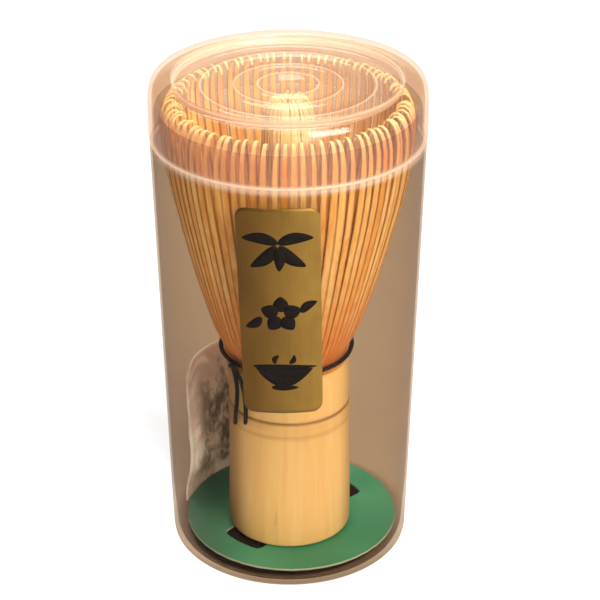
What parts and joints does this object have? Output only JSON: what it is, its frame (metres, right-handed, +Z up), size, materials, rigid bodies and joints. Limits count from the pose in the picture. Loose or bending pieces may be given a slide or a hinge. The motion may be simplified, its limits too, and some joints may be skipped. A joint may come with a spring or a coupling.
{
  "type": "bamboo tea whisk in clear case",
  "caption": "Bamboo tea whisk with flared hooked tines and a thread binding, standing on a round green card in a clear tapered case with a push-on lid.",
  "frame": {"origin": "middle of the case's flat underside", "axes": "+Z up along the whisk; the label is on the -Y side, turned a little towards -X"},
  "size_m": [0.0624, 0.0624, 0.117],
  "materials": {
    "clear_plastic": "clear, smooth",
    "clear_plastic_lid": "clear, smooth",
    "gold_sticker": "satin metallic film",
    "green_card": "coated card",
    "dark_board": "matt",
    "sachet_paper": "crumpled paper film",
    "bamboo_culm": "smooth bamboo skin",
    "bamboo_tines": "shaved bamboo",
    "bamboo_tuft": "shaved bamboo",
    "black_thread": "twisted cotton"
  },
  "bodies": {
    "case": {"case_body": "clear_plastic", "label": "gold_sticker"},
    "card": {"card_stand": "green_card", "dark_pad": "dark_board"},
    "sachet": {"desiccant_sachet": "sachet_paper"},
    "whisk": {"culm_handle": "bamboo_culm", "binding_thread": "black_thread", "inner_thread_round": "black_thread", "outer_tines_01": "bamboo_tines", "outer_tines_02": "bamboo_tines", "outer_tines_03": "bamboo_tines", "outer_tines_04": "bamboo_tines", "outer_tines_05": "bamboo_tines", "outer_tines_06": "bamboo_tines", "outer_tines_07": "bamboo_tines", "outer_tines_08": "bamboo_tines", "outer_tines_09": "bamboo_tines", "outer_tines_10": "bamboo_tines", "outer_tines_11": "bamboo_tines", "outer_tines_12": "bamboo_tines", "outer_tines_13": "bamboo_tines", "outer_tines_14": "bamboo_tines", "outer_tines_15": "bamboo_tines", "outer_tines_16": "bamboo_tines", "inner_tines_1": "bamboo_tuft", "inner_tines_2": "bamboo_tuft", "inner_tines_3": "bamboo_tuft", "inner_tines_4": "bamboo_tuft", "inner_tines_5": "bamboo_tuft", "inner_tines_6": "bamboo_tuft", "inner_tines_7": "bamboo_tuft", "inner_tines_8": "bamboo_tuft"},
    "lid": {"case_lid": "clear_plastic_lid"}
  },
  "joints": [
    {"name": "card_lift", "type": "slide", "parent": "case", "child": "card", "axis": [0, 0, 1], "range_m": [0, 0.12]},
    {"name": "sachet_lift", "type": "slide", "parent": "card", "child": "sachet", "axis": [0, 0, 1], "range_m": [0, 0.12]},
    {"name": "whisk_lift", "type": "slide", "parent": "sachet", "child": "whisk", "axis": [0, 0, 1], "range_m": [0, 0.12]},
    {"name": "lid_lift", "type": "slide", "parent": "whisk", "child": "lid", "axis": [0, 0, 1], "range_m": [0, 0.05]}
  ]
}
